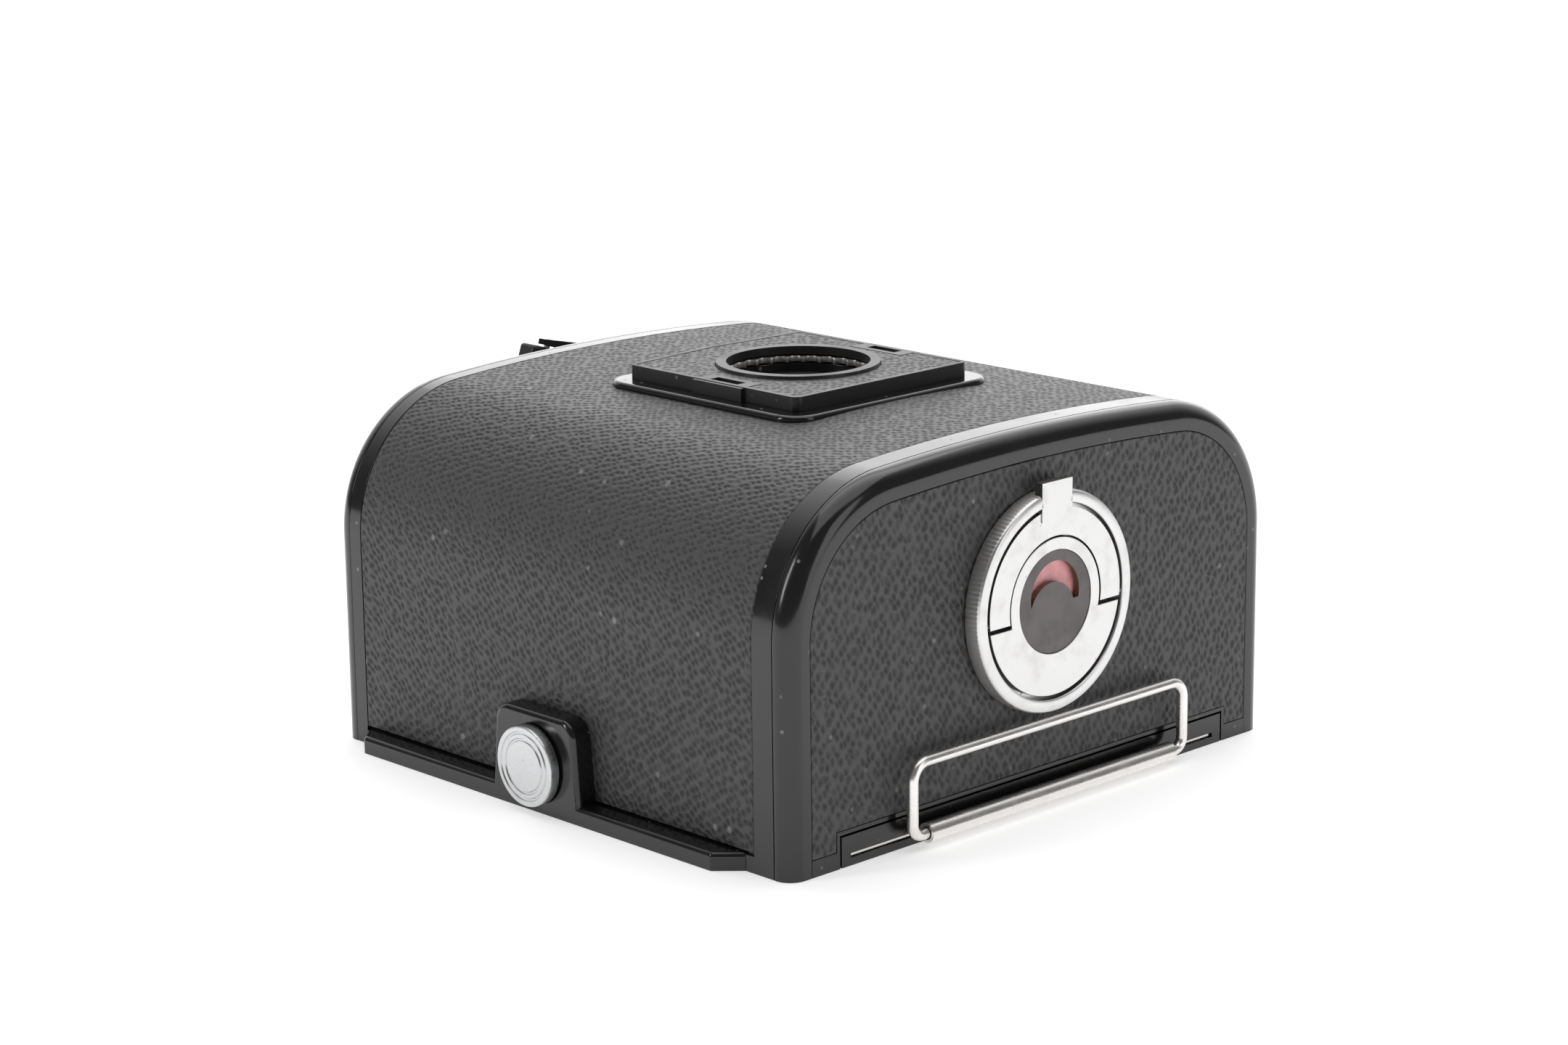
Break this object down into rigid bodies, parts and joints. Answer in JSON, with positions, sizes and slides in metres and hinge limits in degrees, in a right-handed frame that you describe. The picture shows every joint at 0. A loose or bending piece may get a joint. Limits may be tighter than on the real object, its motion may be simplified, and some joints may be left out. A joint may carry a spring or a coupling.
{
  "type": "roll film magazine",
  "caption": "Roll film magazine for a medium format camera: D-shaped leathercloth body, film insert with flip key, dark slide with wire bail, catch button, crank and film reminder.",
  "frame": {"origin": "centre of the film gate in the mating face that meets the camera", "axes": "+Z out of the curved back, +X towards the film holder key and dark slide, -Y towards the catch button"},
  "size_m": [0.0985, 0.0958, 0.0527],
  "materials": {
    "black_enamel": "gloss black enamel on the rims, ledge and front plate",
    "leathercloth": "black pebble-grain leathercloth",
    "key_steel": "satin nickel-plated key",
    "button_steel": "bright plated button",
    "wire_steel": "polished stainless wire and sheet",
    "black_plastic": "moulded black plastic",
    "window_disc": "grey-brown indicator disc",
    "indicator_red": "pink-red indicator",
    "dial_metal": "light scalloped dial",
    "clear_pane": "clear window pane",
    "gear_brass": "cut brass gear",
    "inner_steel": "zinc-plated inner steel",
    "inner_black": "matt black anti-glare paint",
    "felt": "black light-trap felt",
    "counter_white": "white counter dial",
    "spool_plastic": "moulded film spool"
  },
  "bodies": {
    "housing": {"housing_shell": "black_enamel", "wrap_leather": "leathercloth", "side_cover": "black_enamel", "side_cover_leather": "leathercloth", "counter_window": "clear_pane", "signal_window": "clear_pane", "front_plate": "black_enamel", "light_trap_felt": "felt", "front_plate_screws": "inner_steel", "reminder_bezel": "black_plastic", "reminder_floor": "inner_black", "reminder_plate": "black_plastic", "reminder_leather": "leathercloth", "gear_plate": "inner_black", "gear_arbors": "inner_steel", "catch_spring": "inner_steel"},
    "crank": {"crank_gear": "gear_brass", "crank_hub": "black_enamel", "crank_arm": "black_enamel", "crank_screw": "inner_steel", "knob_pin": "inner_steel"},
    "knob": {"crank_knob": "black_plastic"},
    "catch": {"catch_button": "button_steel", "catch_bar": "inner_steel"},
    "reminder": {"reminder_dial": "dial_metal"},
    "driver": {"take_up_driver": "gear_brass"},
    "idler": {"idler_gear": "gear_brass"},
    "drive": {"drive_gear": "gear_brass"},
    "counter": {"counter_dial": "counter_white"},
    "signal": {"signal_vane": "counter_white"},
    "insert": {"insert_cover": "black_enamel", "insert_leather": "leathercloth", "insert_frame": "inner_black", "spool_clamps": "inner_steel", "pressure_spring": "inner_steel"},
    "pressure": {"pressure_plate": "inner_black"},
    "supply_side_roller": {"supply_roller": "inner_steel"},
    "take_up_side_roller": {"take_up_roller": "inner_steel"},
    "spool": {"take_up_spool": "spool_plastic"},
    "indicator": {"film_indicator": "indicator_red"},
    "key": {"key_ring": "key_steel", "wing_pins": "inner_steel", "key_bolt": "inner_steel", "key_plate": "key_steel", "key_window_disc": "window_disc"},
    "wing": {"key_wing": "key_steel"},
    "slide": {"dark_slide": "wire_steel"},
    "bail": {"slide_handle": "wire_steel"}
  },
  "joints": [
    {"name": "insert_slide", "type": "slide", "parent": "housing", "child": "insert", "axis": [1, 0, 0], "range_m": [0, 0.085]},
    {"name": "key_turn", "type": "hinge", "parent": "insert", "child": "key", "pos_m": [0.046, 0, 0.0275], "axis": [1, 0, 0], "range_deg": [0, 90]},
    {"name": "wing_flip", "type": "hinge", "parent": "key", "child": "wing", "pos_m": [0.0464, 0, 0.0265], "axis": [0, 1, 0], "range_deg": [0, 90]},
    {"name": "indicator_turn", "type": "hinge", "parent": "insert", "child": "indicator", "pos_m": [0.045, 0, 0.0275], "axis": [1, 0, 0], "range_deg": [0, 150]},
    {"name": "dark_slide_pull", "type": "slide", "parent": "insert", "child": "slide", "axis": [1, 0, 0], "range_m": [0, 0.078]},
    {"name": "handle_fold", "type": "hinge", "parent": "slide", "child": "bail", "pos_m": [0.0465, 0, 0.00195], "axis": [0, 1, 0], "range_deg": [0, 170]},
    {"name": "catch_slide", "type": "slide", "parent": "housing", "child": "catch", "axis": [-1, 0, 0], "range_m": [0, 0.003], "stiffness_N_per_m": 300, "springref_m": -0.002, "deforming": ["catch_spring"]},
    {"name": "crank_turn", "type": "hinge", "parent": "housing", "child": "crank", "pos_m": [-0.046, 0.0171, 0.03883], "axis": [1, 0, 0], "continuous": true},
    {"name": "knob_fold", "type": "hinge", "parent": "crank", "child": "knob", "pos_m": [-0.04795, -0.00483, 0.04638], "axis": [0, 0.3256, 0.9455], "range_deg": [0, 90]},
    {"name": "driver_turn", "type": "hinge", "parent": "housing", "child": "driver", "pos_m": [-0.038, 0.024, 0.03], "axis": [1, 0, 0], "continuous": true},
    {"name": "idler_turn", "type": "hinge", "parent": "housing", "child": "idler", "pos_m": [-0.038, 0.01923, 0.01684], "axis": [1, 0, 0], "continuous": true},
    {"name": "drive_turn", "type": "hinge", "parent": "housing", "child": "drive", "pos_m": [-0.038, 0.008, 0.00735], "axis": [1, 0, 0], "continuous": true},
    {"name": "counter_turn", "type": "hinge", "parent": "housing", "child": "counter", "pos_m": [-0.042, 0.00602, 0.01964], "axis": [1, 0, 0], "continuous": true},
    {"name": "spool_turn", "type": "hinge", "parent": "insert", "child": "spool", "pos_m": [0, 0.024, 0.03], "axis": [1, 0, 0], "continuous": true},
    {"name": "signal_turn", "type": "hinge", "parent": "housing", "child": "signal", "pos_m": [-0.042, -0.01198, 0.01564], "axis": [1, 0, 0], "range_deg": [0, 45]},
    {"name": "reminder_turn", "type": "hinge", "parent": "housing", "child": "reminder", "pos_m": [0, 0, 0.0499], "axis": [0, 0, 1], "continuous": true},
    {"name": "supply_roller_turn", "type": "hinge", "parent": "insert", "child": "supply_side_roller", "pos_m": [0, -0.0336, 0.0084], "axis": [1, 0, 0], "continuous": true},
    {"name": "take_up_roller_turn", "type": "hinge", "parent": "insert", "child": "take_up_side_roller", "pos_m": [0, 0.0336, 0.0084], "axis": [1, 0, 0], "continuous": true},
    {"name": "pressure_press", "type": "slide", "parent": "insert", "child": "pressure", "axis": [0, 0, 1], "range_m": [0, 0.0008], "stiffness_N_per_m": 1500, "springref_m": -0.002, "deforming": ["pressure_spring"]}
  ],
  "couplings": [
    {"joint": "driver_turn", "follows": "crank_turn", "ratio": -1},
    {"joint": "idler_turn", "follows": "crank_turn", "ratio": 0.66667},
    {"joint": "drive_turn", "follows": "crank_turn", "ratio": -0.88889},
    {"joint": "counter_turn", "follows": "crank_turn", "ratio": -0.15152},
    {"joint": "spool_turn", "follows": "crank_turn", "ratio": -1}
  ]
}
